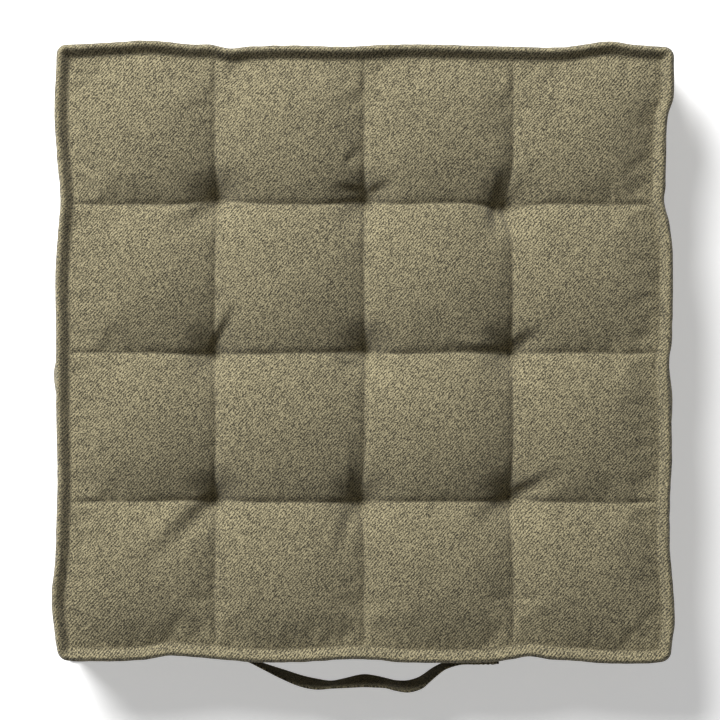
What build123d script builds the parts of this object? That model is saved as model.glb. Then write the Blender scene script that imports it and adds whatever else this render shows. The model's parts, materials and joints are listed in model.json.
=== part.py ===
from build123d import *
import math
import os

# A square tufted floor cushion with a raised seam flange and one carrying handle.
# Origin: centre of the underside, on the floor. +Z up, +X right, and the handle is on the -Y side.

# Driving dimensions, mm
HALF = 300.0                # centre to the crest of the flange, so the cushion is 600 wide
CROWN = 100.0               # floor to the top of a padded cell
CLOTH = 1.2                 # cover fabric
CLEAR = 0.3                 # gap between neighbouring pieces
THREAD = 0.8                # width of a run of stitches
THREAD_HIGH = 0.5           # how far a run of stitches stands up
STITCH_FREE = 4.0           # runs of stitches stop this far short of a seam
STITCH_LIFT = 0.9           # runs of quilting lie this far above the cover
SEAM_IN = 1.0               # corner stitches lie this far inside the wall
MARGIN = 20.0               # how far cutting bodies reach past the cushion
LINE_STEPS = 16             # points along a strap's line

# Quilted top
SEAM = 288.0                # centre to the seam at the foot of the flange
PITCH = 146.0               # between neighbouring tufts
LINES = (-PITCH, 0.0, PITCH)
CELL_EDGES = (-SEAM, -PITCH, 0.0, PITCH, SEAM)
VALLEY = 88.0               # height of the seams and of the stitched lines
CREST = 97.0                # height of the flange
PIT_DEEP = 32.0             # a tuft below the stitched lines
PIT_REACH = 70.0            # radius of the hollow round a tuft
FACE_STEPS = 50             # points across the top that shape its face
LEAF_ROOT = 1.2             # how far inside the seam the flange's leaf joins the panel
LEAF_BEAD = 0.6             # how much the leaf's root stands proud of the panel

# Boxing, which is the side wall
FOLD = 1.5                  # the boxing turns up this far outside the seam
FLOOR_LEAF = CLOTH + CLEAR  # height of the boxing's leaf on the bottom panel
WALL_LOW = FLOOR_LEAF + CLOTH
WALL_HIGH = 86.0
WALL_MID = (WALL_LOW + WALL_HIGH) / 2
BULGE = 9.5                 # how far the wall swells between its two seams
WALL_FOOT = SEAM + FOLD
WALL_FACE = WALL_FOOT + BULGE

# Filling
CORE_HALF = 270.0
CORE_LOW = 24.0
CORE_HIGH = 50.0
WADDING_HALF = 284.0
CORNER = 16.0               # rounding of the filling's upright corners
SIDE_GAP = 4.0              # between the wall and the side wadding
SIDE_LOW = -0.45            # where the side wadding starts, from -1 at the wall's foot to 1

# Tufting twine, drawn through the whole cushion
TWINE = 2.0
STRANDS = 3.2               # between the two strands of one tuft
SLOT = (STRANDS + TWINE + 2 * CLEAR, TWINE + 2 * CLEAR)
DIMPLE_DEEP = 12.0          # a tuft above the underside
DIMPLE_REACH = 40.0

# Handle strap
STRAP_WIDE = 26.0
STRAP_THICK = 2.4
STRAP_MID = 50.0            # height of the strap's middle where it is sewn on
TAB_CLEAR = 0.2
TAB_FACE = WALL_FACE + TAB_CLEAR  # the sewn ends lie against the boxing
LEFT_END = -141.6
RIGHT_END = 132.8
TAB_LONG = 34.0
STITCH_INSET = 3.0          # stitches run this far in from the strap's edges
ROOT_BOW = 4.6              # how far the middle of a root leads out from the boxing
ROOT_LEAN = 2.0             # how much a root runs along the wall for each part that it leads out
LEFT_CUT = -83.0            # the loop turns between these two planes
RIGHT_CUT = 69.0
CUT_GAP = 0.4
HINGE_OUT = 314.4           # the loop's turning axis in front of the centre
DROOP = 16.0                # how far the loop hangs below level, degrees
STRAP_LINE = TAB_FACE + STRAP_THICK / 2
# how far the loop's centreline stands out from the turning axis, from its left to its right root
LOOP = [(LEFT_CUT, 0.0), (-62.0, 9.8), (-47.0, 14.2), (-28.0, 13.4), (-2.0, 10.6), (22.0, 11.8),
        (44.0, 16.2), (57.0, 10.6), (RIGHT_CUT, 0.0)]

COLUMNS = ("left", "centre", "right")
ROWS = ("front", "middle", "back")


# The top's shape -----------------------------------------------------------------------------

def swell(t):
    """0 on the edges of a padded cell and 1 across its middle, with rounded valleys."""
    t = min(abs(t), SEAM)
    low, high = next((a, b) for a, b in zip(CELL_EDGES, CELL_EDGES[1:]) if a <= t <= b)
    return 1.0 - math.cos(math.pi * (t - low) / (high - low)) ** 4


def pit(x, y):
    """Depth of the hollow that the nearest tuft draws into the top."""
    near = [min(LINES, key=lambda line: abs(line - t)) for t in (x, y)]
    far = math.hypot(x - near[0], y - near[1]) / PIT_REACH
    return PIT_DEEP * (1.0 - far * far) ** 3 if far < 1.0 else 0.0


def top_height(x, y):
    return VALLEY + (CROWN - VALLEY) * swell(x) * swell(y) - pit(x, y)


def top_surface(drop):
    """The top's curved face between its seams, lowered by drop."""
    across = [SEAM * (2 * i / FACE_STEPS - 1) for i in range(FACE_STEPS + 1)]
    grid = [[Vector(x, y, top_height(x, y) - drop) for y in across] for x in across]
    return Face.make_surface_from_array_of_points(grid, tol=0.05)


# Small helpers -------------------------------------------------------------------------------

def face_inside(*lines):
    """The flat face that a closed chain of lines goes round."""
    return make_face(Wire([edge for line in lines for edge in line.edges()]))


def slab(half, low, high, corner=0.0):
    """A square plate from one height to another."""
    plate = Pos(0, 0, (low + high) / 2) * Box(2 * half, 2 * half, high - low)
    return fillet(plate.edges().filter_by(Axis.Z), corner) if corner else plate


def tuft_places():
    for row, y in zip(ROWS, LINES):
        for column, x in zip(COLUMNS, LINES):
            yield f"{row}_{column}", x, y


def tuft_slots():
    """Where the twine passes through, all the way up."""
    return [Pos(x, y, CROWN / 2) * Box(*SLOT, 2 * CROWN) for name, x, y in tuft_places()]


def turned(solid, quarter):
    """The same piece on another side, by quarter turns."""
    return Rot(0, 0, 90 * quarter) * solid


def wedge(gap):
    """The quarter of the cushion on its +X side, out to the mitres, less a gap."""
    far = HALF + MARGIN
    outline = make_face(Polyline((gap, 0), (far + gap, far), (far + gap, -far), close=True))
    return extrude(Pos(0, 0, -MARGIN) * outline, 2 * CROWN)


def prism_along_y(section, half):
    """A section drawn as (distance from centre, height), run along the +X side."""
    return extrude(Plane.XZ.offset(-half) * section, 2 * half)


def frame_round(section):
    """A section run round all four sides, with mitred corners."""
    strip = prism_along_y(section, HALF) & wedge(0.0)
    frame = strip
    for quarter in (1, 2, 3):
        frame = frame + turned(strip, quarter)
    return frame


def wall_point(inset, t):
    """A point of the wall's outer curve moved in by inset, with t from -1 at its foot to 1."""
    chord = WALL_MID - WALL_LOW
    radius = (chord ** 2 + BULGE ** 2) / (2 * BULGE)
    angle = t * math.asin(chord / radius)
    across = WALL_FACE - radius + (radius - inset) * math.cos(angle)
    return across, WALL_MID + (radius - inset) * math.sin(angle)


def ribbon(line, low, high, half_thick=STRAP_THICK / 2, shift=0.0):
    """An upright strip that follows a line seen from above, moved sideways by shift."""
    places = [i / LINE_STEPS for i in range(LINE_STEPS + 1)]
    sides = []
    for off in (shift - half_thick, shift + half_thick):
        across = [Vector((line % t).Y, -(line % t).X, 0) * off for t in places]
        sides.append(Spline(*[(line @ t) + side for t, side in zip(places, across)]))
    ends = [Line(sides[0] @ t, sides[1] @ t) for t in (0, 1)]
    return extrude(Pos(0, 0, low) * face_inside(*sides, *ends), high - low)


# Cover ---------------------------------------------------------------------------------------

def leaf_low(across):
    """Height of the underside of the panel's flange leaf."""
    low = VALLEY - CLOTH - LEAF_BEAD
    return low + (CREST - CLOTH - low) * (across - SEAM) / (HALF - SEAM)


def top_panel():
    """The quilted face, with the inner leaf of the raised flange round its edge."""
    panel = extrude(top_surface(0.0), amount=CLOTH, dir=(0, 0, -1))
    foot = SEAM - LEAF_ROOT
    leaf = Polyline((foot, leaf_low(SEAM)), (SEAM, leaf_low(SEAM)), (HALF, leaf_low(HALF)), (HALF, CREST),
                    (SEAM, VALLEY + LEAF_BEAD), (foot, VALLEY + LEAF_BEAD), close=True)
    return (panel + frame_round(make_face(leaf))) - tuft_slots()


def dimple(lift):
    """The rounded hollow under one tuft, as a solid standing on the floor."""
    high = DIMPLE_DEEP + lift
    slope = Spline((DIMPLE_REACH, lift), (0, high), tangents=[(-1, 0), (-1, 0)])
    sides = [Line((0, high), (0, 0)), Line((0, 0), (DIMPLE_REACH, 0))]
    if lift:
        sides.append(Line((DIMPLE_REACH, 0), (DIMPLE_REACH, lift)))
    return revolve(Plane.XZ * face_inside(slope, *sides), Axis.Z)


def bottom_panel():
    panel = slab(HALF, 0, CLOTH)
    for name, x, y in tuft_places():
        panel = panel + Pos(x, y, 0) * dimple(CLOTH)
    for name, x, y in tuft_places():
        panel = panel - Pos(x, y, 0) * dimple(0.0)
    return panel - tuft_slots()


def boxing():
    """The side wall on the +X side: a swelling strip with one leaf of each flange."""
    leaf_top = leaf_low(WALL_FOOT - CLOTH) - CLEAR
    leaf_end = leaf_low(HALF) - CLEAR
    outer = ThreePointArc(wall_point(0, -1), wall_point(0, 0), wall_point(0, 1))
    inner = ThreePointArc(wall_point(CLOTH, -1), wall_point(CLOTH, 0), wall_point(CLOTH, 1))
    top_leaf = Polyline(outer @ 1, (HALF, leaf_end - CLOTH), (HALF, leaf_end),
                        (WALL_FOOT - CLOTH, leaf_top), inner @ 1)
    low_leaf = Polyline(outer @ 0, (HALF, WALL_LOW), (HALF, FLOOR_LEAF),
                        (WALL_FOOT - CLOTH, FLOOR_LEAF), inner @ 0)
    section = face_inside(outer, top_leaf, inner, low_leaf)
    return prism_along_y(section, HALF) & wedge(CLEAR)


# Stitching -----------------------------------------------------------------------------------

def seam_ring(half, low):
    """A square run of stitches."""
    outline = Rectangle(2 * half + THREAD, 2 * half + THREAD) - Rectangle(2 * half - THREAD, 2 * half - THREAD)
    return extrude(Pos(0, 0, low) * outline, THREAD_HIGH)


def quilting_layer():
    """A thin layer that follows the top face a little above it."""
    return extrude(top_surface(-STITCH_LIFT - THREAD_HIGH), amount=THREAD_HIGH, dir=(0, 0, -1))


def quilting_runs(layer, line):
    """Stitches along one line across the top, in the four stretches between the tufts."""
    knot = 2 * TWINE + STRANDS
    runs = []
    for start, end in zip(CELL_EDGES, CELL_EDGES[1:]):
        low = start + (knot if start > -SEAM else STITCH_FREE)
        high = end - (knot if end < SEAM else STITCH_FREE)
        strip = Pos((low + high) / 2, line, CROWN / 2) * Box(high - low, THREAD, 2 * CROWN)
        runs.append(layer & strip)
    return runs


def corner_seam():
    """Stitches up the inside of the upright seam between two walls, at the +X +Y corner."""
    spots = [wall_point(CLOTH + SEAM_IN, t / 5) for t in range(-4, 5)]
    near = Spline(*[(u * math.sqrt(2) - THREAD, z) for u, z in spots])
    far = Spline(*[(u * math.sqrt(2), z) for u, z in spots])
    ends = [Line(near @ t, far @ t) for t in (0, 1)]
    section = face_inside(near, far, *ends)
    return Rot(0, 0, 45) * extrude(Plane.XZ.offset(-THREAD / 2) * section, THREAD)


# Filling -------------------------------------------------------------------------------------

def foam_core():
    return slab(CORE_HALF, CORE_LOW, CORE_HIGH, CORNER) - tuft_slots()


def top_wadding():
    hang = CROWN - CORE_HIGH
    block = extrude(top_surface(CLOTH + CLEAR), amount=hang, dir=(0, 0, -1))
    return (block & slab(WADDING_HALF, CORE_HIGH + CLEAR, CROWN, CORNER)) - tuft_slots()


def bottom_wadding():
    block = slab(WADDING_HALF, CLOTH + CLEAR, CORE_LOW - CLEAR, CORNER)
    for name, x, y in tuft_places():
        block = block - Pos(x, y, 0) * dimple(CLOTH + CLEAR)
    return block - tuft_slots()


def side_wadding():
    """A band round the core, swelling like the walls."""
    deep = CLOTH + SIDE_GAP
    reach = (CORE_HIGH - WALL_MID) / (WALL_HIGH - WALL_MID)
    outer = ThreePointArc(wall_point(deep, SIDE_LOW), wall_point(deep, 0), wall_point(deep, reach))
    inside = CORE_HALF + CLEAR
    back = Polyline(outer @ 1, (inside, (outer @ 1).Y), (inside, (outer @ 0).Y), outer @ 0)
    return frame_round(face_inside(outer, back)) & slab(WALL_FACE, 0, CROWN, 4 * CORNER)


# Tufting -------------------------------------------------------------------------------------

def tuft_twine():
    """A closed link of twine: two strands down through the filling, joined above and below."""
    low = DIMPLE_DEEP - TWINE / 2
    high = VALLEY - PIT_DEEP + TWINE / 2 + CLEAR
    link = Pos(0, 0, (low + high) / 2) * Cylinder(TWINE / 2, high - low)
    strands = Pos(-STRANDS / 2, 0, 0) * link + Pos(STRANDS / 2, 0, 0) * link
    for z in (low, high):
        strands = strands + Pos(0, 0, z) * Rot(0, 90, 0) * Cylinder(TWINE / 2, STRANDS)
        for x in (-STRANDS / 2, STRANDS / 2):
            strands = strands + Pos(x, 0, z) * Sphere(TWINE / 2)
    return strands


# Handle --------------------------------------------------------------------------------------

def strap_low_high():
    return STRAP_MID - STRAP_WIDE / 2, STRAP_MID + STRAP_WIDE / 2


def handle_end(end, cut):
    """The strap's sewn tab and the fixed root that leads out to the loop."""
    side = math.copysign(1, end)
    tab = end - side * TAB_LONG
    stop = cut + side * CUT_GAP
    middle = ((tab + stop) / 2, -STRAP_LINE - ROOT_BOW)
    lean = (-side * ROOT_LEAN, -1.0)
    line = Spline((tab, -STRAP_LINE), middle, (stop, -HINGE_OUT), tangents=[(-side, 0), lean])
    root = ribbon(line, *strap_low_high())
    sewn = Pos((end + tab) / 2, -STRAP_LINE, STRAP_MID) * Box(TAB_LONG, STRAP_THICK, STRAP_WIDE)
    outside = Pos(stop + side * HALF / 2, -HALF, STRAP_MID) * Box(HALF, HALF, HALF)
    return (sewn + root) & outside


def loop_line():
    return Spline(*[(x, -HINGE_OUT - out) for x, out in LOOP])


def drooped(solid):
    """Turned down about the loop's axis, as it hangs."""
    return solid.rotate(Axis((0, -HINGE_OUT, STRAP_MID), (1, 0, 0)), DROOP)


def between_cuts():
    wide = RIGHT_CUT - LEFT_CUT
    return Pos((RIGHT_CUT + LEFT_CUT) / 2, -HINGE_OUT, STRAP_MID) * Box(wide, HALF, HALF)


def handle_loop():
    return drooped(ribbon(loop_line(), *strap_low_high()) & between_cuts())


def loop_stitching():
    """A row of stitches along each edge of the loop, on its outer face."""
    off = STRAP_THICK / 2 + CLEAR + THREAD_HIGH / 2
    rows = []
    for edge in (-1, 1):
        low = STRAP_MID + edge * (STRAP_WIDE / 2 - STITCH_INSET) - THREAD / 2
        rows.append(ribbon(loop_line(), low, low + THREAD, THREAD_HIGH / 2, off) & between_cuts())
    return [drooped(row) for row in rows]


def tab_stitching(end):
    """A sewn box with a cross in it, through the tab and the boxing."""
    side = math.copysign(1, end)
    long, high = TAB_LONG - 4 * STITCH_INSET, STRAP_WIDE - 2 * STITCH_INSET
    outline = Rectangle(long, high) - Rectangle(long - 2 * THREAD, high - 2 * THREAD)
    lean = math.degrees(math.atan2(high, long))
    for turn in (-lean, lean):
        outline = outline + Rot(0, 0, turn) * Rectangle(math.hypot(long, high) - 3 * THREAD, THREAD)
    face = Plane.XZ.offset(TAB_FACE + STRAP_THICK + CLEAR)
    return extrude(face * Pos(end - side * TAB_LONG / 2, STRAP_MID) * outline, THREAD_HIGH)


# Writing -------------------------------------------------------------------------------------

def solids_of(shape):
    shapes = shape if isinstance(shape, (list, tuple)) else [shape]
    return [solid for one in shapes for solid in one.solids()]


def pieces():
    yield "top_panel", top_panel()
    yield "bottom_panel", bottom_panel()
    wall = boxing()
    upright = corner_seam()
    for quarter, side in enumerate(("right", "back", "left", "front")):
        yield f"{side}_boxing", turned(wall, quarter)
    for quarter, corner in enumerate(("back_right", "back_left", "front_left", "front_right")):
        yield f"corner_seam_{corner}", turned(upright, quarter)
    yield "top_flange_stitching", seam_ring(SEAM - LEAF_ROOT - THREAD, VALLEY + CLEAR)
    yield "bottom_flange_stitching", seam_ring(SEAM + STITCH_FREE, WALL_LOW + CLEAR)
    layer = quilting_layer()
    across = {line: quilting_runs(layer, line) for line in LINES}
    for name, line in zip(ROWS, LINES):
        yield f"quilting_stitch_{name}", across[line]
    for name, line in zip(COLUMNS, LINES):
        # the top is the same lengthwise as crosswise
        yield f"quilting_stitch_{name}", [turned(run, 1) for run in across[-line]]
    yield "foam_core", foam_core()
    yield "top_wadding", top_wadding()
    yield "bottom_wadding", bottom_wadding()
    yield "side_wadding", side_wadding()
    twine = tuft_twine()
    for name, x, y in tuft_places():
        yield f"tuft_twine_{name}", Pos(x, y, 0) * twine
    yield "handle_end_left", handle_end(LEFT_END, LEFT_CUT)
    yield "handle_end_right", handle_end(RIGHT_END, RIGHT_CUT)
    yield "handle_stitching_left", tab_stitching(LEFT_END)
    yield "handle_stitching_right", tab_stitching(RIGHT_END)
    yield "handle_loop", handle_loop()
    yield "loop_stitching", loop_stitching()


def main():
    os.makedirs("parts", exist_ok=True)
    for name, shape in pieces():
        solids = solids_of(shape)
        part = solids[0] if len(solids) == 1 else Compound(children=solids)
        part.label = name
        export_step(part, f"parts/{name}.step")


main()
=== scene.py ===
import json
import math

import bpy
import numpy as np
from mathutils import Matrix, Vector, noise


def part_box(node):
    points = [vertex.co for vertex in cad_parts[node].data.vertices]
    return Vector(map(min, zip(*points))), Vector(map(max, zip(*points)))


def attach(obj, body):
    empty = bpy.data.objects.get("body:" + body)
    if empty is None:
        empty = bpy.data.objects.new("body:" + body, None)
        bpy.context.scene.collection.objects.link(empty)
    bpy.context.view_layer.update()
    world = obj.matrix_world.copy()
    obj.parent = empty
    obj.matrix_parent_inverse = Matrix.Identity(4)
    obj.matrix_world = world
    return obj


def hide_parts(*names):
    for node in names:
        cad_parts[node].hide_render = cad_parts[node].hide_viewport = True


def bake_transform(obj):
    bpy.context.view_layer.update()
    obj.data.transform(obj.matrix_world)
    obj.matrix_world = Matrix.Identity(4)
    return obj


# A square tufted floor cushion in heathered khaki twill, seen from straight above.
# Shapes are worked out in millimetres, +Z up, with the handle on the -Y side.

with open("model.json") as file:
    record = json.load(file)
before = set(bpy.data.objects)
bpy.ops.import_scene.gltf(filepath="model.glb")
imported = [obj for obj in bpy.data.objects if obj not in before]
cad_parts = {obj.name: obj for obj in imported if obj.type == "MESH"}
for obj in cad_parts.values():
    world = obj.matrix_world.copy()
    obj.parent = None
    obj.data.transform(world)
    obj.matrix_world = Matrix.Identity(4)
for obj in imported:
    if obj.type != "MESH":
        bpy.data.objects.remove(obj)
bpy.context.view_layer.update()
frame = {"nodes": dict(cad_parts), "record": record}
MM = 0.001


# Sizes that the frame gives ------------------------------------------------------------------

def node_box(node):
    """A CAD node's lowest and highest corners in millimetres."""
    return [[value / MM for value in corner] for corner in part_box(node)]


HALF = node_box("top_panel")[1][0]                     # centre to the crest of the flange
TWINE_TOP = node_box("tuft_twine_middle_centre")[1][2]
CORE_TOP = node_box("foam_core")[1][2]
FLANGE = 12.0                                          # width of the flange
SEAM = HALF - FLANGE                                   # centre to the seam at the flange's foot
TWINE_HALF = 2.6                                       # half the width of a tuft's two strands
PITCH = node_box("tuft_twine_middle_right")[0][0] + TWINE_HALF
LINES = (-PITCH, 0.0, PITCH)
CELL_EDGES = (-SEAM, -PITCH, 0.0, PITCH, SEAM)
VALLEY = 88.0                                          # height of the seams and stitched lines
PILLOW = 14.5                                          # height of a cell's crown above its edges
COVER_OVER = 1.2                                       # how far the cover stays above a twine
PIT = VALLEY - PILLOW - TWINE_TOP - COVER_OVER         # depth of a tuft's hollow below its lines
PIT_REACH = 38.0
PIT_POWER = 1.7                                        # how much steeper a hollow is in its middle
FUNNEL_REACH = 26.0                                    # the stitched lines melt into round funnels here
WALL_FOOT = SEAM + 1.5                                 # centre to the wall's upper and lower seams
WALL_LOW = 3.0
WALL_HIGH = 86.0
BULGE = 9.5                                            # how far a wall swells between its seams
CORNER = 9.0                                           # radius of the upright corners
FADE = 240.0                                           # the outline's wander reaches in to here


# Camera, first -------------------------------------------------------------------------------

def make_camera():
    """A long lens straight above, a little below and left of the cushion's middle."""
    wide = 0.7042                                      # metres across the picture, at the flange's height
    flange_high = 0.094
    high = 4.0
    data = bpy.data.cameras.new("camera")
    data.sensor_width = 36.0
    data.lens = data.sensor_width * (high - flange_high) / wide
    data.clip_end = 20.0
    camera = bpy.data.objects.new("camera", data)
    camera.location = (-0.0042, -0.0066, high)
    bpy.context.scene.collection.objects.link(camera)
    bpy.context.scene.camera = camera


make_camera()


# Curves and noise ----------------------------------------------------------------------------

def smooth(value, low, high):
    """0 below low and 1 above high, with a soft rise between them."""
    t = np.clip((value - low) / (high - low), 0.0, 1.0)
    return t * t * (3.0 - 2.0 * t)


def cubic_weights(at, knots):
    """The matrix that takes values at evenly counted knots to smooth values at other places."""
    at, knots = np.asarray(at, float), np.asarray(knots, float)
    last = len(knots) - 1
    index = np.clip(np.searchsorted(knots, at, side="right") - 1, 0, last - 1)
    t = (at - knots[index]) / (knots[index + 1] - knots[index])
    shares = (
        -0.5 * t + t ** 2 - 0.5 * t ** 3,
        1.0 - 2.5 * t ** 2 + 1.5 * t ** 3,
        0.5 * t + 2.0 * t ** 2 - 1.5 * t ** 3,
        -0.5 * t ** 2 + 0.5 * t ** 3,
    )
    weights = np.zeros((len(at), len(knots)))
    for step, share in zip((-1, 0, 1, 2), shares):
        np.add.at(weights, (np.arange(len(at)), np.clip(index + step, 0, last)), share)
    return weights


def curve_through(points, at):
    """A smooth curve through a few (place, value) points, read at other places."""
    points = sorted(points)
    places = np.array([p[0] for p in points], float)
    values = np.array([p[1] for p in points], float)
    at = np.clip(np.asarray(at, float), places[0], places[-1])
    return (cubic_weights(at.ravel(), places) @ values).reshape(at.shape)


def cloud(x, y, scale, seed):
    """Smooth noise between about -1 and 1 that changes over scale millimetres."""
    widest = 1.6
    x, y = np.broadcast_arrays(x, y)
    spots = zip(x.ravel() / scale, y.ravel() / scale)
    values = [noise.noise((a + 17.3 * seed, b - 5.1 * seed, seed)) for a, b in spots]
    return np.array(values).reshape(x.shape) * widest


# The outline, which wanders in and out along each side ---------------------------------------

# (place along the side, how far the upper flange stands out from its straight line)
OUTLINE = {
    "left": [(-300, -1.5), (-280, 1.4), (-241, 5.2), (-202, 1.6), (-163, 0.4), (-124, -0.6),
             (-65, 0.5), (-20, 1.0), (23, 0.8), (72, 1.5), (111, -0.5), (150, -3.4), (199, 0.4),
             (238, 2.4), (290, 0.3)],
    "right": [(-300, -1), (-285, 0), (-262, 2.9), (-230, 1.2), (-190, -1.8), (-145, -1.8), (-100, 0.2),
              (-50, -1), (-7, -2.4), (13, 0.2), (62, 1), (105, 0.6), (130, -3), (150, -7.5), (165, -6),
              (200, -5.5), (232, -4), (250, 1.8), (287, 2.2)],
    "back": [(-290, 1.2), (-249, 3.2), (-210, 5.2), (-170, 1.4), (-150, 1.2), (-131, -2.6), (-112, -0.6),
             (-73, 0.3), (-14, -0.7), (25, 1.2), (64, 1.2), (103, 0.2), (142, -0.8), (182, -1.7),
             (201, -0.6), (240, 4.2), (260, 1.4), (290, -1)],
    "front": [(-290, 0), (-249, 0.6), (-215, -1), (-190, -5), (-160, -3), (-131, -0.4), (-105, 1.6),
              (-60, 1.2), (-20, -1.3), (10, -1), (35, 1.6), (100, 2.2), (125, 1.4), (143, -1.3),
              (162, -4.2), (182, -1.3), (205, 0), (235, 2.6), (279, 2.6), (295, 1)],
}
# (place along the side, how far the middle of the wall swells beyond its plain bulge)
SWELLING = {
    "left": [(-300, -3), (-240, -1), (-120, 0), (-60, 2), (-19, 8.5), (15, 1), (80, -1), (200, 0),
             (300, -3)],
    "right": [(-300, -3), (-200, -1), (-110, 2), (-47, 5.2), (-12, 2), (40, -1), (160, -4),
              (300, -3)],
    "back": [(-300, -3), (-180, 0), (-40, -1), (50, 1), (78, 3.6), (110, 0), (200, -1), (300, -3)],
    "front": [(-300, -3), (-180, -1), (0, 0), (60, 0.5), (92, 4.2), (120, 5.6), (138, 4.6),
              (160, 1), (220, -1), (300, -3)],
}
# (place along the side, how far the lower flange stands out)
LOWER_OUTLINE = {
    "left": [(-300, 0), (-200, 1), (-100, -1), (20, 0.5), (140, -2), (240, 1.2), (300, -0.5)],
    "right": [(-300, 0.5), (-220, -1), (-90, 0.5), (30, -1), (150, -4), (240, -1.5), (300, 0.5)],
    "back": [(-300, 0), (-210, 1.5), (-110, -1), (0, 0), (120, -0.5), (230, 1), (300, -0.5)],
    "front": [(-300, 8), (-285, 8.5), (-260, 7), (-230, 3.5), (-206, 3.6), (-180, 1), (-140, 4.6),
              (-112, 6.2), (-70, 2), (60, 2.5), (110, 7), (140, 6.5), (170, 2), (200, 1), (300, 3)],
}


def outward(side, along, high):
    """How far the cushion's skin stands out on one side, from its height and place along it."""
    upper = smooth(high, 55.0, WALL_HIGH)
    lower = 1.0 - smooth(high, WALL_LOW, 36.0)
    middle = np.clip(1.0 - upper - lower, 0.0, 1.0)
    return (upper * curve_through(OUTLINE[side], along)
            + lower * curve_through(LOWER_OUTLINE[side], along)
            + middle * curve_through(SWELLING[side], along))


def round_corners(points):
    """Draws the square's four upright corners in to a radius."""
    flat = points[..., :2]
    inner = HALF - CORNER
    beyond = np.abs(flat) - inner
    far = np.maximum(np.linalg.norm(beyond, axis=-1, keepdims=True), 1e-6)
    rounded = np.sign(flat) * (inner + beyond * beyond.max(-1, keepdims=True) / far)
    at_corner = (beyond > 0).all(-1, keepdims=True)
    return np.concatenate([np.where(at_corner, rounded, flat), points[..., 2:]], -1)


def wander(points):
    """Rounds off the upright corners and moves a piece's points with the outline."""
    points = round_corners(np.array(points, float))
    x, y, z = points[..., 0], points[..., 1], points[..., 2]
    moved = points.copy()
    for side, axis, sign in (("left", 0, -1), ("right", 0, 1), ("front", 1, -1), ("back", 1, 1)):
        across, along = (x, y) if axis == 0 else (y, x)
        moved[..., axis] += sign * smooth(sign * across, FADE, SEAM) * outward(side, along, z)
    return moved


# Meshes --------------------------------------------------------------------------------------

def add_mesh(name, points, faces, cloth, material):
    """A mesh piece. cloth gives each point's place on the flat cloth, in millimetres."""
    mesh = bpy.data.meshes.new(name)
    mesh.from_pydata((np.asarray(points, float).reshape(-1, 3) * MM).tolist(), [], faces)
    mesh.polygons.foreach_set("use_smooth", np.ones(len(mesh.polygons), bool))
    if cloth is not None:
        flat = np.asarray(cloth, float).reshape(-1, 2)
        places = np.column_stack([flat, np.zeros(len(flat))]) * MM
        attribute = mesh.attributes.new("cloth", "FLOAT_VECTOR", "POINT")
        attribute.data.foreach_set("vector", places.ravel().astype(np.float32))
    mesh.update()
    piece = bpy.data.objects.new(name, mesh)
    piece.data.materials.append(material)
    bpy.context.scene.collection.objects.link(piece)
    return piece


def grid_faces(rows, columns, flip=False):
    """The quads of a grid of points, row by row."""
    faces = []
    for i in range(rows - 1):
        for j in range(columns - 1):
            a = i * columns + j
            quad = (a, a + columns, a + columns + 1, a + 1)
            faces.append(quad[::-1] if flip else quad)
    return faces


# Materials -----------------------------------------------------------------------------------

class Nodes:
    """Adds nodes to a new material and joins them up."""

    def __init__(self, name):
        self.material = bpy.data.materials.new(name)
        self.material.use_nodes = True
        self.tree = self.material.node_tree
        self.shader = self.tree.nodes["Principled BSDF"]

    def add(self, kind, inputs=(), **settings):
        """A node with its settings, and its inputs set or joined."""
        node = self.tree.nodes.new(kind)
        for key, value in settings.items():
            setattr(node, key, value)
        for key, value in dict(inputs).items():
            self.feed(node.inputs[key], value)
        return node

    def feed(self, socket, value):
        """Joins a socket to another node's output, or gives it a plain value."""
        if isinstance(value, bpy.types.NodeSocket):
            self.tree.links.new(value, socket)
        else:
            socket.default_value = value

    def calc(self, operation, *values):
        """The result of a sum on one to three values."""
        node = self.add("ShaderNodeMath", operation=operation)
        for socket, value in zip(node.inputs, values):
            self.feed(socket, value)
        return node.outputs[0]

    def noise(self, vector, scale, detail=2.0, roughness=0.5):
        node = self.add("ShaderNodeTexNoise", {"Vector": vector, "Scale": scale, "Detail": detail,
                                               "Roughness": roughness})
        return node.outputs["Fac"]

    def ramp(self, value, stops):
        """A colour that runs from the first stop to the second, by way of any others."""
        node = self.add("ShaderNodeValToRGB", {"Fac": value})
        elements = node.color_ramp.elements
        for (place, colour), element in zip(stops, elements):
            element.position, element.color = place, (*colour, 1.0)
        for place, colour in stops[2:]:
            elements.new(place).color = (*colour, 1.0)
        return node.outputs["Color"]


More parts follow.
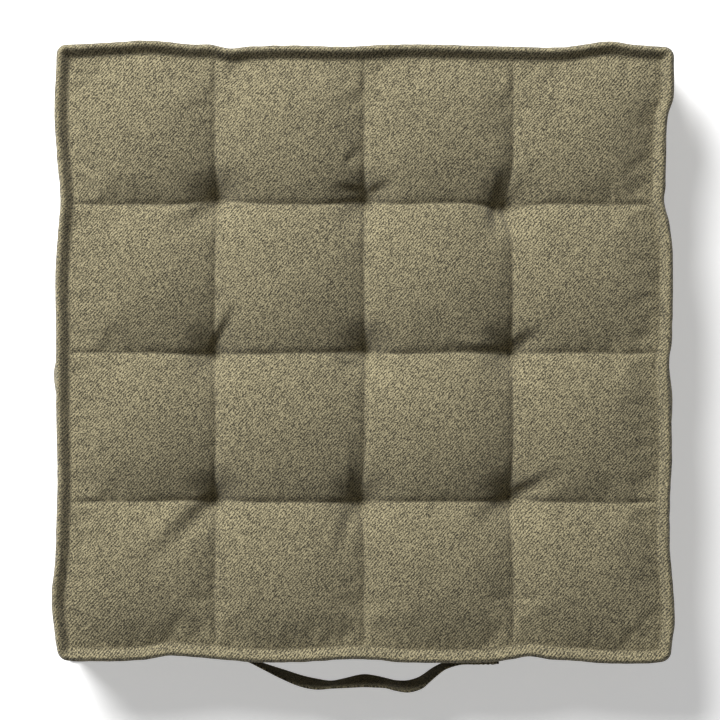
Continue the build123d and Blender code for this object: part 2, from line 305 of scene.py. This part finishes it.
def twill(name, base):
    """Heathered twill: ribs that climb to the right, in short floats of dark and pale yarn."""
    n = Nodes(name)
    dark, light = 0.2, 2.15                            # the darkest and palest yarn, beside the base
    rib = 0.00245                                      # from one rib to the next, in metres
    place = n.add("ShaderNodeAttribute", attribute_name="cloth").outputs["Vector"]
    turn = n.add("ShaderNodeMapping", {"Vector": place, "Rotation": (0, 0, math.radians(-48.3))})
    wobble = n.add("ShaderNodeTexNoise", {"Vector": place, "Scale": 160.0, "Detail": 1.0})
    shift = n.add("ShaderNodeVectorMath", {0: wobble.outputs["Color"], 1: (0.5, 0.5, 0.5)},
                  operation="SUBTRACT")
    small = n.add("ShaderNodeVectorMath", {0: shift.outputs[0], "Scale": 0.0008}, operation="SCALE")
    spot = n.add("ShaderNodeVectorMath", {0: turn.outputs[0], 1: small.outputs[0]}, operation="ADD")
    parts = n.add("ShaderNodeSeparateXYZ", {0: spot.outputs[0]})
    phase = n.calc("MULTIPLY", parts.outputs["Y"], 2 * math.pi / rib)
    wave = n.calc("SINE", phase)
    rise = n.calc("MULTIPLY_ADD", wave, 0.5, 0.5)
    # one float of yarn is one cell, 0.8 mm along its rib
    cells = n.add("ShaderNodeMapping", {"Vector": spot.outputs[0], "Scale": (1250.0, 1350.0, 1.0)})
    floats = n.add("ShaderNodeTexVoronoi", {"Vector": cells.outputs[0], "Scale": 1.0}, feature="F1",
                   voronoi_dimensions="2D")
    tint = n.add("ShaderNodeSeparateColor", {0: floats.outputs["Color"]}).outputs[0]
    fuzz = n.noise(place, 2200.0, 1.0, 0.5)
    heather = n.calc("MULTIPLY_ADD", tint, 0.72, n.calc("MULTIPLY", fuzz, 0.28))
    mixed = n.calc("MULTIPLY_ADD", rise, 0.44, n.calc("MULTIPLY_ADD", heather, 1.1, -0.27))
    broad = n.calc("MULTIPLY_ADD", n.noise(place, 14.0, 1.0), 0.10, -0.05)
    value = n.calc("ADD", mixed, broad)
    shades = [(0.22, tuple(c * dark for c in base)), (0.78, tuple(min(c * light, 1) for c in base)),
              (0.5, base)]
    colour = n.ramp(value, shades)
    n.feed(n.shader.inputs["Base Color"], colour)
    n.feed(n.shader.inputs["Roughness"], n.calc("MULTIPLY_ADD", fuzz, 0.1, 0.84))
    n.shader.inputs["Specular IOR Level"].default_value = 0.18
    n.shader.inputs["Sheen Weight"].default_value = 0.12
    n.shader.inputs["Sheen Roughness"].default_value = 0.6
    height = n.calc("MULTIPLY_ADD", rise, 0.4, n.calc("MULTIPLY", heather, 0.6))
    bump = n.add("ShaderNodeBump", {"Height": height, "Strength": 0.55, "Distance": 0.0007})
    n.feed(n.shader.inputs["Normal"], bump.outputs["Normal"])
    return n.material


def plain_fibre(name, base, scale, bump_m):
    """A matte fibrous surface: foam, wadding, thread or twine."""
    n = Nodes(name)
    place = n.add("ShaderNodeTexCoord").outputs["Object"]
    grain = n.noise(place, scale, 4.0, 0.65)
    shades = [(0.3, tuple(c * 0.75 for c in base)), (0.7, tuple(min(c * 1.12, 1.0) for c in base))]
    n.feed(n.shader.inputs["Base Color"], n.ramp(grain, shades))
    n.shader.inputs["Roughness"].default_value = 0.95
    bump = n.add("ShaderNodeBump", {"Height": grain, "Strength": 0.6, "Distance": bump_m})
    n.feed(n.shader.inputs["Normal"], bump.outputs["Normal"])
    return n.material


KHAKI = (0.163, 0.142, 0.085)
COVER = twill("cover_twill", KHAKI)
STRAP = twill("strap_twill", tuple(c * 0.92 for c in KHAKI))
THREAD = plain_fibre("sewing_thread", (0.21, 0.185, 0.12), 2500.0, 0.0002)
TWINE = plain_fibre("tufting_twine", (0.12, 0.105, 0.07), 1800.0, 0.0004)
FOAM = plain_fibre("foam", (0.76, 0.70, 0.50), 700.0, 0.0010)
WADDING = plain_fibre("wadding", (0.84, 0.84, 0.80), 300.0, 0.0015)


# The quilted top -----------------------------------------------------------------------------

CELL_STEPS = 24                                        # simulated points across one padded cell


def cell_places():
    """Evenly spaced places across each padded cell, for the simulation."""
    cells = zip(CELL_EDGES, CELL_EDGES[1:])
    places = [a + (b - a) * i / CELL_STEPS for a, b in cells for i in range(CELL_STEPS)]
    return np.array(places + [CELL_EDGES[-1]])


def nearest_line(t):
    """The stitched line that is nearest to each place."""
    lines = np.array(LINES)
    return lines[np.abs(np.asarray(t)[..., None] - lines).argmin(-1)]


def from_tuft(x, y):
    """How far each point is from its nearest tuft, seen from above."""
    return np.hypot(x - nearest_line(x), y - nearest_line(y))


def cell_drop(t):
    """0 at the middle of a padded cell and 1 on its edges, and the same only towards the outer seam."""
    edges = np.array(CELL_EDGES)
    last = len(edges) - 2
    index = np.clip(np.searchsorted(edges, t, side="right") - 1, 0, last)
    place = 2.0 * (t - edges[index]) / (edges[index + 1] - edges[index]) - 1.0
    seaward = ((index == 0) & (place < 0)) | ((index == last) & (place > 0))
    return place ** 2, np.where(seaward, place ** 2, 0.0)


def start_height(x, y):
    """The quilted top before it is inflated: the lines sag from cell to cell towards the tufts."""
    (f, f_seam), (g, g_seam) = cell_drop(x), cell_drop(y)
    drop = f + g - f_seam * g - f * g_seam + f_seam * g_seam
    return VALLEY + PILLOW * (1.0 - drop)


SIMULATED_FRAMES = 20
MOST_SWELL = 5.0                                       # no point moves further than this when inflated


def inflate(x, y, z, holds):
    """Puffs the padded cells up with a cloth simulation. holds is how firmly each point is sewn."""
    rows, columns = x.shape
    start = np.stack([x, y, z], -1)
    piece = add_mesh("inflating", start, grid_faces(rows, columns), None, COVER)
    sewn = piece.vertex_groups.new(name="sewn")
    for index, weight in enumerate(holds.ravel()):
        if weight > 0.0:
            sewn.add([index], float(weight), "REPLACE")
    cloth = piece.modifiers.new("cloth", "CLOTH")
    settings = cloth.settings
    settings.quality = 8
    settings.mass = 0.25
    settings.tension_stiffness = 25.0
    settings.compression_stiffness = 25.0
    settings.shear_stiffness = 12.0
    settings.bending_stiffness = 4.0
    settings.shrink_min = -0.008
    settings.use_pressure = True
    settings.uniform_pressure_force = 4.0
    settings.vertex_group_mass = "sewn"
    settings.effector_weights.gravity = 0.0
    cloth.point_cache.frame_start = 1
    cloth.point_cache.frame_end = SIMULATED_FRAMES
    for number in range(1, SIMULATED_FRAMES + 1):
        bpy.context.scene.frame_set(number)
    swollen = piece.evaluated_get(bpy.context.evaluated_depsgraph_get())
    flat = np.zeros(rows * columns * 3)
    swollen.data.vertices.foreach_get("co", flat)
    bpy.data.objects.remove(piece)
    bpy.context.scene.frame_set(1)
    moved = flat.reshape(rows, columns, 3) / MM - start
    far = np.linalg.norm(moved, axis=-1, keepdims=True)
    return start + moved * np.minimum(1.0, MOST_SWELL / np.maximum(far, 1e-6))


def coarse_top():
    """The inflated top on the simulation's grid."""
    places = cell_places()
    x, y = np.meshgrid(places, places, indexing="ij")
    z = start_height(x, y)
    on_line = np.minimum(np.abs(x - nearest_line(x)), np.abs(y - nearest_line(y))) < 1.0
    edge = np.maximum(np.abs(x), np.abs(y)) > SEAM - 1.0
    holds = np.where(on_line, 0.25 + 0.6 * smooth(from_tuft(x, y), 15.0, 60.0), 0.0)
    holds[from_tuft(x, y) < 4.0] = 1.0
    holds[edge] = 1.0
    return places, inflate(x, y, z, holds)


def fine_places():
    """Places across the top: close together beside each stitched line, wider in the cells."""
    close = np.array([0.0, 0.5, 1.1, 1.9, 3.0, 4.4, 6.2])
    step = 2.3
    places = []
    for a, b in zip(CELL_EDGES, CELL_EDGES[1:]):
        inner = int(round((b - a - 2 * close[-1]) / step))
        middle = np.linspace(a + close[-1], b - close[-1], inner + 1)[1:-1]
        places += [*(a + close), *middle, *(b - close[::-1])]
    return np.unique(np.round(places, 4))


# Creases that run out of the tufts: start, end, width, depth, and the height of the ridge beside
# each, which is on its left, or on its right if negative
FOLDS = [
    ((-148, -146), (-222, -222), 11.0, 4.8, -3.1),
    ((-146, 8), (-118, 54), 6.0, 3.9, 2.2),
    ((4, 156), (34, 170), 5.0, 2.8, 1.7),
    ((-4, 158), (-36, 163), 4.5, 2.5, -1.7),
    ((-18, 186), (-2, 202), 5.5, 2.2, 1.4),
    ((134, 150), (129, 108), 6.0, 3.6, 0.8),
    ((137, 154), (141, 200), 7.0, 3.4, 1.4),
    ((136, 4), (62, 3), 5.0, 2.2, -1.1),
    ((146, 6), (182, 24), 8.0, 3.1, 2.2),
    ((148, -142), (204, -110), 7.5, 3.6, 2.2),
    ((140, -148), (100, -170), 8.0, 2.5, -1.4),
    ((-7, -136), (-9, -80), 6.5, 2.8, 2.2),
    ((-14, -156), (-26, -208), 8.0, 2.1, -1.4),
    ((-150, 140), (-204, 112), 9.0, 2.2, -1.7),
]


def fold_height(x, y):
    """Each crease is a soft groove with a ridge beside it, and dies out away from its tuft."""
    total = np.zeros_like(x)
    for (ax, ay), (bx, by), wide, deep, ridge in FOLDS:
        length = math.hypot(bx - ax, by - ay)
        ux, uy = (bx - ax) / length, (by - ay) / length
        along = ((x - ax) * ux + (y - ay) * uy) / length
        across = (y - ay) * ux - (x - ax) * uy
        fade = smooth(along, -0.15, 0.2) * (1.0 - smooth(along, 0.2, 1.1))
        spread = wide * (0.7 + 0.6 * np.clip(along, 0.0, 1.0))
        beside = across - math.copysign(1.5, ridge) * spread
        raised = abs(ridge) * np.exp(-(beside / spread) ** 2)
        total += fade * (raised - deep * np.exp(-(across / spread) ** 2))
    return total


def crease_height(x, y):
    """The sharp stitched grooves along the lines, which melt away at the tufts."""
    far = from_tuft(x, y)
    depth = 0.7 + 0.8 * np.exp(-far / 40.0) - 1.3 * np.exp(-(far / 14.0) ** 2)
    total = np.zeros_like(x)
    for t in (x, y):
        total = np.minimum(total, -depth * np.exp(-np.abs(t - nearest_line(t)) / 1.5))
    return total


# Where each tuft pulls the lines aside, by row and column from the front left
TUFT_SHIFT = {
    (0, 0): (0, 2), (0, 1): (-4, 0), (0, 2): (-3, 2),
    (1, 0): (-2, -1.5), (1, 1): (2, 1.5), (1, 2): (-2, 1),
    (2, 0): (2, 3), (2, 1): (1.5, 2.5), (2, 2): (-8, -2),
}


def pit_depth(x, y):
    """The hollow that each tuft's twine draws into the top, steepest in its middle."""
    blunt = 2.0
    far = (np.hypot(from_tuft(x, y), blunt) - blunt) / PIT_REACH
    return PIT * np.clip(1.0 - far, 0.0, 1.0) ** PIT_POWER


def funnel_height(x, y):
    """Turns the four-sided hollow between the padded cells into a round one near each tuft."""
    slope = 4.0 * PILLOW / PITCH
    far = from_tuft(x, y)
    square = np.abs(x - nearest_line(x)) + np.abs(y - nearest_line(y))
    return slope * (1.2 * far - square) * np.exp(-(far / FUNNEL_REACH) ** 2)


def sideways(x, y):
    """How far the cloth is pulled aside: its lines bow, and meet at tufts that sit off their grid."""
    bow = np.stack([1.3 * cloud(x * 0.2, y, 55.0, 2), 1.3 * cloud(x, y * 0.2, 55.0, 3)], -1)
    total = bow * smooth(SEAM - np.maximum(np.abs(x), np.abs(y)), 0.0, 40.0)[..., None]
    for (row, column), shift in TUFT_SHIFT.items():
        far = np.hypot(x - LINES[column], y - LINES[row])
        total += np.exp(-(far / 26.0) ** 2)[..., None] * np.array(shift, float)
    return total


def top_skin():
    """Places across, and the top's points on them, before the outline wanders."""
    coarse, points = coarse_top()
    fine = fine_places()
    weights = cubic_weights(fine, coarse)
    skin = np.einsum("ia,abk,jb->ijk", weights, points, weights)
    x, y = np.meshgrid(fine, fine, indexing="ij")
    inside = smooth(SEAM - np.maximum(np.abs(x), np.abs(y)), 0.0, 14.0)
    skin[..., 2] += fold_height(x, y) + crease_height(x, y) + 0.6 * cloud(x, y, 45.0, 1) * inside
    skin[..., 2] += funnel_height(x, y) - pit_depth(x, y)
    skin[..., :2] += sideways(x, y)
    return fine, skin


# The flange's section above its seam: how far out and how high from the seam's foot
LEAF = [(0.0, 0.0), (1.0, 0.5), (2.8, 2.8), (4.8, 5.6), (6.8, 8.2), (8.3, 9.5), (9.5, 9.8), (10.7, 9.1),
        (11.6, 7.6), (12.0, 5.8)]


def top_panel():
    """The quilted top with the flange's inner leaf round it. Returns the points inside the seam."""
    fine, skin = top_skin()
    out = np.array([p[0] for p in LEAF[1:]])
    up = np.array([p[1] for p in LEAF])
    edge = SEAM + out
    places = np.concatenate([-edge[::-1], fine, edge])
    pad = len(out)
    count = len(places)
    x, y = np.meshgrid(places, places, indexing="ij")
    points = np.stack([x, y, np.full_like(x, VALLEY)], -1)
    inner = slice(pad, count - pad)
    points[inner, inner] = skin
    step = np.zeros(count)
    step[:pad] = np.arange(pad, 0, -1)
    step[count - pad:] = np.arange(1, pad + 1)
    ring = np.maximum(step[:, None], step[None, :])
    rise = np.interp(ring, np.arange(len(up)), up)
    outside = ring > 0
    points[outside, 2] = (VALLEY + rise)[outside]
    points = wander(points)
    ripple = 0.7 * cloud(x, y, 30.0, 4) * np.minimum(ring / 4.0, 1.0)
    points[outside, 2] += ripple[outside]
    piece = add_mesh("quilted_top", points, grid_faces(count, count), np.stack([x, y], -1), COVER)
    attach(piece, "cushion")
    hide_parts("top_panel")
    return points[inner, inner]


# The side walls ------------------------------------------------------------------------------

WALL_STEPS = 18


def wall_section():
    """(out from the centre, height) from the flange's crest down to the lower flange's edge."""
    crest = VALLEY + LEAF[-1][1]
    upper = [(HALF, crest), (HALF + 0.9, crest - 0.9), (HALF + 0.5, crest - 2.0),
             (HALF - 3.2, crest - 3.4), (HALF - 6.5, crest - 4.6), (WALL_FOOT + 0.6, WALL_HIGH - 0.4)]
    middle = (WALL_LOW + WALL_HIGH) / 2
    chord = WALL_HIGH - middle
    radius = (chord ** 2 + BULGE ** 2) / (2 * BULGE)
    sweep = math.asin(chord / radius)
    hub = WALL_FOOT + BULGE - radius
    angles = [sweep * (1 - 2 * i / WALL_STEPS) for i in range(1, WALL_STEPS)]
    arc = [(hub + radius * math.cos(angle), middle + radius * math.sin(angle)) for angle in angles]
    lower = [(WALL_FOOT + 0.6, WALL_LOW + 0.8), (HALF - 7, 3.2), (HALF - 3, 3.2), (HALF - 0.4, 2.6),
             (HALF, 1.4)]
    return np.array(upper + arc + lower)


def boxing(side, quarter):
    """One side wall with the flanges' outer leaves, puckered along its seams. Returns its points."""
    columns = 261
    section = wall_section()
    out, high = section[:, 0], section[:, 1]
    cloth_down = np.concatenate([[0.0], np.cumsum(np.hypot(np.diff(out), np.diff(high)))])
    share = np.linspace(-1.0, 1.0, columns)
    across = np.broadcast_to(out[:, None], (len(out), len(share)))
    along = out[:, None] * share[None, :]
    up = np.broadcast_to(high[:, None], across.shape)
    near_seam = np.exp(-(high - WALL_LOW) / 14.0) + np.exp(-(WALL_HIGH - high) / 14.0)
    near_seam = np.where((high < WALL_HIGH) & (high > WALL_LOW), near_seam, 0.35)
    pucker = 0.8 * cloud(along, up * 0.35, 11.0, 7 + quarter) * near_seam[:, None]
    slow = 1.0 * cloud(along, up, 60.0, 11 + quarter)
    wall = smooth(high, WALL_LOW, WALL_LOW + 8.0) * (1.0 - smooth(high, WALL_HIGH - 8.0, WALL_HIGH))
    across = across + pucker * (1 - np.abs(share) ** 8)
    across = across + slow * wall[:, None] * (1 - np.abs(share) ** 6)
    turn = math.radians(90 * quarter)
    c, s = round(math.cos(turn)), round(math.sin(turn))
    turned = np.stack([c * across - s * along, s * across + c * along, up], -1)
    cloth = np.stack([along, -np.broadcast_to(cloth_down[:, None], along.shape)], -1)
    points = wander(turned)
    piece = add_mesh(f"{side}_wall", points, grid_faces(*across.shape), cloth, COVER)
    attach(piece, "cushion")
    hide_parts(f"{side}_boxing")
    return points


def bottom_panel():
    """The plain underside, with a dimple at each tuft."""
    step = 5.0
    deep, reach = 12.0, 40.0
    off_floor, edge_lift = 0.2, 1.2
    places = np.concatenate([[-HALF], np.linspace(-SEAM, SEAM, int(2 * SEAM / step) + 1), [HALF]])
    x, y = np.meshgrid(places, places, indexing="ij")
    lift = deep * np.clip(1.0 - (from_tuft(x, y) / reach) ** 2, 0.0, 1.0) ** 2
    edge = np.maximum(np.abs(x), np.abs(y)) > HALF - 1.0
    z = off_floor + lift + np.where(edge, edge_lift, 0.0)
    points = wander(np.stack([x, y, z], -1))
    piece = add_mesh("underside", points, grid_faces(len(places), len(places), flip=True),
                     np.stack([x, y], -1), COVER)
    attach(piece, "cushion")
    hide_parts("bottom_panel")


# Handle --------------------------------------------------------------------------------------

UP = np.array([0.0, 0.0, 1.0])
STRAP_WIDE = 26.0
STRAP_THICK = 2.4
STITCH_ROW = 0.74                                      # share of the half width where it is topstitched
STITCH_SUNK = 0.72                                     # share of the thickness that is left there
# The strap's middle line from its left end to its right: x, y, height, and how far it leans back
STRAP_PATH = [
    (-141.6, -300.6, 50.0, 0), (-127, -300.8, 50.0, 0), (-114, -303.4, 50.0, 1), (-99, -309.8, 49.8, 6),
    (-80, -317.6, 49.2, 14), (-62.5, -324.2, 47.4, 18), (-47, -327.5, 46.2, 17), (-33, -328.0, 46.0, 10),
    (-20, -326.6, 46.2, 14), (-2, -324.1, 46.8, 22), (10, -324.8, 46.6, 20), (22, -326.6, 46.2, 15),
    (31, -328.8, 45.8, 16), (43, -329.8, 45.4, 20), (54, -326.8, 46.2, 20), (61, -322, 47.4, 16),
    (70, -314.8, 49.0, 13), (80, -309, 49.8, 8), (95, -305.6, 50.0, 3), (110, -305.8, 50.0, 0),
    (132.8, -305.2, 50.0, 0),
]


STRAP_STEPS = 260


def strap_frames():
    """Along the strap: places, points, and the directions of its width and of its outer face."""
    path = np.array(STRAP_PATH, float)
    knots = np.concatenate([[0.0], np.cumsum(np.linalg.norm(np.diff(path[:, :3], axis=0), axis=1))])
    at = np.linspace(0.0, knots[-1], STRAP_STEPS)
    values = cubic_weights(at, knots) @ path
    spots, lean = values[:, :3], np.radians(values[:, 3])
    along = np.gradient(spots, axis=0)
    along[:, 2] = 0.0
    along /= np.linalg.norm(along, axis=1, keepdims=True)
    front = np.cross(along, UP)
    wide = front * np.sin(lean)[:, None] + UP * np.cos(lean)[:, None]
    face = front * np.cos(lean)[:, None] - UP * np.sin(lean)[:, None]
    return at, spots, wide, face


def strap():
    """A folded and topstitched band: thick at its edges, a little hollow along the stitches."""
    at, spots, wide, face = strap_frames()
    # (place from the middle line to the edge, thickness), as shares of half the strap's
    profile = [(0, 0.93), (0.4, 0.95), (0.66, 0.9), (STITCH_ROW, STITCH_SUNK), (0.8, 0.86), (0.88, 1.0),
               (0.97, 0.8), (1, 0.35)]
    front = [(-place, deep) for place, deep in profile[:0:-1]] + profile
    section = np.array(front + [(place, -deep) for place, deep in front[::-1]])
    section *= STRAP_WIDE / 2, STRAP_THICK / 2
    rows = spots[:, None] + wide[:, None] * section[None, :, :1] + face[:, None] * section[None, :, 1:]
    count, around = len(at), len(section)
    faces = []
    for i in range(count - 1):
        for j in range(around):
            k = (j + 1) % around
            faces.append((i * around + j, i * around + k, (i + 1) * around + k, (i + 1) * around + j))
    faces.append(tuple(range(around))[::-1])
    faces.append(tuple((count - 1) * around + j for j in range(around)))
    cloth = np.stack([np.broadcast_to(at[:, None], (count, around)),
                      np.broadcast_to(section[None, :, 0], (count, around))], -1)
    piece = add_mesh("handle_strap", rows, faces, cloth, STRAP)
    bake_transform(piece)
    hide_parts("handle_end_left", "handle_end_right", "handle_loop")


# Stitches ------------------------------------------------------------------------------------

STITCH = 3.1                                           # length of one stitch
STITCH_GAP = 1.2
STITCH_RADIUS = 0.42


def stitch_places(path, normal):
    """Spots, directions and normals of the evenly spaced stitches along a path."""
    path = np.asarray(path, float)
    normal = np.broadcast_to(np.asarray(normal, float), path.shape)
    run = np.concatenate([[0.0], np.cumsum(np.linalg.norm(np.diff(path, axis=0), axis=1))])
    count = max(1, int(run[-1] // (STITCH + STITCH_GAP)))
    at = (np.arange(count) + 0.5) * run[-1] / count

    def read(values, where):
        return np.stack([np.interp(where, run, values[:, i]) for i in range(3)], -1)

    ahead = read(path, at + STITCH / 2) - read(path, at - STITCH / 2)
    ahead /= np.linalg.norm(ahead, axis=1, keepdims=True)
    up = read(normal, at)
    up -= (up * ahead).sum(1, keepdims=True) * ahead
    return read(path, at), ahead, up / np.linalg.norm(up, axis=1, keepdims=True)


# A stitch's rings: place along it, width, and height as a share of its radius
STITCH_RINGS = ((-0.5, 0.4, -0.55), (-0.36, 0.85, 0.0), (0.0, 1.0, 0.25), (0.36, 0.85, 0.0),
                (0.5, 0.4, -0.55))
STITCH_SIDES = 6


def stitch_faces(rings):
    """The faces of one stitch. rings holds the numbers of its points, ring by ring."""
    faces = []
    for ring, following in zip(rings, rings[1:]):
        for side in range(STITCH_SIDES):
            beside = (side + 1) % STITCH_SIDES
            faces.append((ring[side], ring[beside], following[beside], following[side]))
    return faces + [tuple(rings[0])[::-1], tuple(rings[-1])]


def stitches(name, runs):
    """Rows of separate stitches, each a short plump strand whose ends dip into the cloth."""
    angles = np.arange(STITCH_SIDES)[:, None] * 2 * math.pi / STITCH_SIDES
    points, faces, first = [], [], 0
    for path, normal in runs:
        spots, ahead, up = stitch_places(path, normal)
        aside = np.cross(ahead, up)
        turn = up[:, None] * np.sin(angles) + aside[:, None] * np.cos(angles)
        for share, width, lift in STITCH_RINGS:
            middle = spots + ahead * share * STITCH + up * lift * STITCH_RADIUS
            points.append((middle[:, None] + turn * width * STITCH_RADIUS).reshape(-1, 3))
        count = len(spots) * len(STITCH_RINGS) * STITCH_SIDES
        numbers = np.arange(first, first + count).reshape(len(STITCH_RINGS), len(spots), STITCH_SIDES)
        for number in range(len(spots)):
            faces += stitch_faces(numbers[:, number].tolist())
        first += count
    piece = add_mesh(name, np.concatenate(points), faces, None, THREAD)
    return piece


def fixed_stitches(name, runs):
    """Stitches that stay with the cushion, in place of the CAD node of the same name."""
    piece = stitches(name, runs)
    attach(piece, "cushion")
    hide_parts(name)


def quilting_stitches(skin):
    """A run along each stitched line, stopping short of the tufts' pinches."""
    short, lift = 9.0, 0.25
    fine = fine_places()
    for line, column, row in zip(LINES, ("left", "centre", "right"), ("front", "middle", "back")):
        index = int(np.argmin(np.abs(fine - line)))
        for place, path in ((column, skin[index]), (row, skin[:, index])):
            runs = []
            for a, b in zip(CELL_EDGES, CELL_EDGES[1:]):
                part = path[(fine > a + short) & (fine < b - short)]
                runs.append((part + UP * lift, UP))
            fixed_stitches(f"quilting_stitch_{place}", runs)


def flange_stitches(skin, walls):
    """A run at the foot of the upper flange, and one on the lower flange."""
    short = slice(4, -4)
    top_lift, bottom_lift = 0.3, 0.15
    sides = (skin[0], skin[-1], skin[:, 0], skin[:, -1])
    fixed_stitches("top_flange_stitching", [(side[short] + UP * top_lift, UP) for side in sides])
    leaves = [(wall[-4] + wall[-3]) / 2 for wall in walls]
    runs = [(leaf[short] + UP * bottom_lift, UP) for leaf in leaves]
    fixed_stitches("bottom_flange_stitching", runs)


def corner_stitches(walls):
    """A run up each upright corner, between the two flanges."""
    low, high, lift = 6.0, 82.0, 0.1
    corners = ("back_right", "back_left", "front_left", "front_right")
    for quarter, corner in enumerate(corners):
        edge = walls[quarter][:, -1]
        run = edge[(edge[:, 2] > low) & (edge[:, 2] < high)]
        turn = math.radians(45 + 90 * quarter)
        out = np.array([math.cos(turn), math.sin(turn), 0.0])
        fixed_stitches(f"corner_seam_{corner}", [(run + out * lift, out)])


def tab_stitches():
    """On each sewn end of the strap, a box with a cross in it."""
    low, high = 40.5, 59.5
    for side, end, tab, front in (("left", -138.0, -120.0, -302.2), ("right", 129.0, 106.0, -306.9)):
        corners = [(end, low), (tab, low), (tab, high), (end, high), (end, low)]
        crosses = [[(end, low), (tab, high)], [(end, high), (tab, low)]]
        runs = []
        for line in [corners[i:i + 2] for i in range(4)] + crosses:
            share = np.linspace(0.0, 1.0, 12)[:, None]
            flat = np.array(line[0]) * (1 - share) + np.array(line[1]) * share
            path = np.insert(flat, 1, front, axis=1)
            runs.append((path, (0.0, -1.0, 0.0)))
        fixed_stitches(f"handle_stitching_{side}", runs)


def loop_stitches():
    """A row along each edge of the loop, on both of its faces."""
    lift = 0.15
    loose = slice(42, 222)                             # between the strap's sewn ends
    spots, wide, face = strap_frames()[1:]
    aside, out = STITCH_ROW * STRAP_WIDE / 2, STITCH_SUNK * STRAP_THICK / 2 + lift
    runs = []
    for edge in (-1, 1):
        for front in (-1, 1):
            path = spots + wide * edge * aside + face * front * out
            runs.append((path[loose], (face * front)[loose]))
    piece = stitches("loop_stitching", runs)
    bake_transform(piece)
    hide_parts("loop_stitching")


# Filling -------------------------------------------------------------------------------------

def top_wadding(skin):
    """The soft layer under the quilted top, which fills it a little below the cloth."""
    shrink = 0.985
    low, thinnest = CORE_TOP + 0.3, 0.6
    places = fine_places()[::2]
    x, y = np.meshgrid(places, places, indexing="ij")
    top = skin[::2, ::2].copy()
    top[..., 2] -= 3.0 + 9.0 * np.exp(-(from_tuft(x, y) / 18.0) ** 2)
    top[..., 2] = np.maximum(top[..., 2], low + thinnest)
    top[..., :2] *= shrink
    base = top.copy()
    base[..., 2] = low
    rows = len(top)
    numbers = np.arange(rows * rows).reshape(rows, rows)
    faces = grid_faces(rows, rows)
    faces += [tuple(i + numbers.size for i in face) for face in grid_faces(rows, rows, flip=True)]
    rim = [*numbers[:, 0], *numbers[-1, 1:], *numbers[-2::-1, -1], *numbers[0, -2:0:-1]]
    for a, b in zip(rim, rim[1:] + rim[:1]):
        faces.append((b, a, a + numbers.size, b + numbers.size))
    piece = add_mesh("wadding_under_top", np.concatenate([top, base]), faces, None, WADDING)
    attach(piece, "cushion")
    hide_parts("top_wadding")


# Light and floor -----------------------------------------------------------------------------

def add_light(name, place, size, watts):
    """A round soft light that faces the cushion."""
    data = bpy.data.lights.new(name, "AREA")
    data.shape = "DISK"
    data.size = size
    data.energy = watts
    light = bpy.data.objects.new(name, data)
    light.location = place
    light.rotation_mode = "QUATERNION"
    light.rotation_quaternion = Vector(place).to_track_quat("Z", "Y")
    bpy.context.scene.collection.objects.link(light)


def stage():
    """A pale table that gives off a little light, and one big light from the back left."""
    n = Nodes("pale_floor")
    n.shader.inputs["Base Color"].default_value = (0.93, 0.93, 0.93, 1.0)
    n.shader.inputs["Roughness"].default_value = 0.9
    n.shader.inputs["Emission Color"].default_value = (1.0, 1.0, 1.0, 1.0)
    n.shader.inputs["Emission Strength"].default_value = 0.4
    half = 6000.0
    corners = [(-half, -half, 0), (half, -half, 0), (half, half, 0), (-half, half, 0)]
    floor = add_mesh("floor", corners, [(0, 1, 2, 3)], None, n.material)
    world = bpy.data.worlds.new("studio")
    world.use_nodes = True
    background = world.node_tree.nodes["Background"]
    background.inputs["Color"].default_value = (1.0, 1.0, 1.0, 1.0)
    background.inputs["Strength"].default_value = 0.10
    bpy.context.scene.world = world
    add_light("key", (-1.6, 2.4, 2.65), 2.2, 268.0)
    bpy.context.scene.view_settings.view_transform = "Standard"


# Everything ----------------------------------------------------------------------------------

def finish_frame():
    finishes = {"foam": FOAM, "wadding": WADDING, "tufting_twine": TWINE, "sewing_thread": THREAD,
                "strap_fabric": STRAP, "cover_fabric": COVER}
    for part in frame["record"]["subparts"]:
        node = frame["nodes"][part["node"]]
        node.data.materials.clear()
        node.data.materials.append(finishes[part["material_slot"]])


finish_frame()
skin = top_panel()
walls = [boxing(side, quarter) for quarter, side in enumerate(("right", "back", "left", "front"))]
bottom_panel()
strap()
quilting_stitches(skin)
flange_stitches(skin, walls)
corner_stitches(walls)
tab_stitches()
loop_stitches()
top_wadding(skin)
stage()
